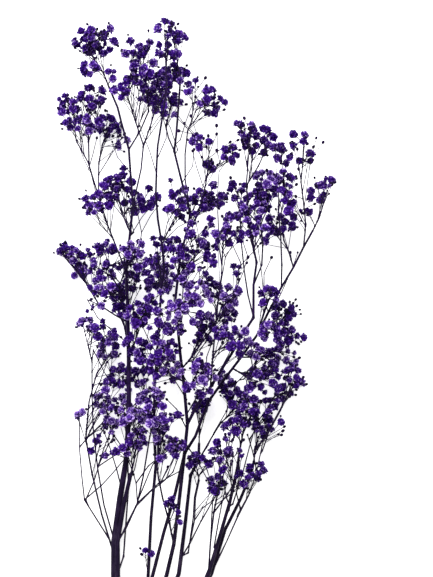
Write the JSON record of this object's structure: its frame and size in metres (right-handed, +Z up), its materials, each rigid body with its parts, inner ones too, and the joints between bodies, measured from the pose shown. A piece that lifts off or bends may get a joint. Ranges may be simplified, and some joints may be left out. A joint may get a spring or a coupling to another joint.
{
  "type": "preserved gypsophila bunch",
  "caption": "Loose bunch of cut gypsophila stems dyed deep violet, lying on its side, with fine forked sprays of small double blooms and round buds.",
  "frame": {"origin": "centre of the bunch's outline seen from above, at the surface that it lies on", "axes": "+Y along the stems towards the tips, +Z up from the surface, +X across the bunch, to the right in the picture"},
  "size_m": [0.2256, 0.5516, 0.102],
  "materials": {
    "dyed_stem": "dry and matt, dyed near black with a violet cast",
    "dyed_bloom": "dry, papery and matt, dyed deep violet"
  },
  "bodies": {
    "root": {"spray_centre_back": "dyed_bloom", "spray_centre_fork": "dyed_bloom", "spray_centre_heart": "dyed_bloom", "spray_centre_inward": "dyed_bloom", "spray_centre_limb": "dyed_bloom", "spray_centre_low": "dyed_bloom", "spray_centre_middle": "dyed_bloom", "spray_centre_right": "dyed_bloom", "spray_centre_top": "dyed_bloom", "spray_centre_under": "dyed_bloom", "spray_crossing_edge": "dyed_bloom", "spray_crossing_end": "dyed_bloom", "spray_crossing_floor": "dyed_bloom", "spray_crossing_high": "dyed_bloom", "spray_crossing_low": "dyed_bloom", "spray_crossing_near": "dyed_bloom", "spray_crossing_right": "dyed_bloom", "spray_crossing_tall": "dyed_bloom", "spray_crossing_under": "dyed_bloom", "spray_inner_foot": "dyed_bloom", "spray_inner_low": "dyed_bloom", "spray_inner_middle": "dyed_bloom", "spray_inner_side": "dyed_bloom", "spray_inner_top": "dyed_bloom", "spray_inner_under": "dyed_bloom", "spray_left_back": "dyed_bloom", "spray_left_crown": "dyed_bloom", "spray_left_edge": "dyed_bloom", "spray_left_far": "dyed_bloom", "spray_left_front": "dyed_bloom", "spray_left_heart": "dyed_bloom", "spray_left_inner": "dyed_bloom", "spray_left_inward": "dyed_bloom", "spray_left_low": "dyed_bloom", "spray_left_middle": "dyed_bloom", "spray_left_tall": "dyed_bloom", "spray_outer_end": "dyed_bloom", "spray_outer_low": "dyed_bloom", "spray_reach_end": "dyed_bloom", "spray_reach_heart": "dyed_bloom", "spray_reach_high": "dyed_bloom", "spray_reach_left": "dyed_bloom", "spray_reach_right": "dyed_bloom", "spray_right_end": "dyed_bloom", "spray_right_inner": "dyed_bloom", "spray_second_inward": "dyed_bloom", "spray_second_low": "dyed_bloom", "spray_second_top": "dyed_bloom", "spray_short_end": "dyed_bloom", "spray_short_low": "dyed_bloom", "spray_short_right": "dyed_bloom", "stem_centre": "dyed_stem", "stem_crossing": "dyed_stem", "stem_inner_left": "dyed_stem", "stem_left": "dyed_stem", "stem_left_second": "dyed_stem", "stem_outer_right": "dyed_stem", "stem_right": "dyed_stem", "stem_short": "dyed_stem"}
  },
  "joints": []
}
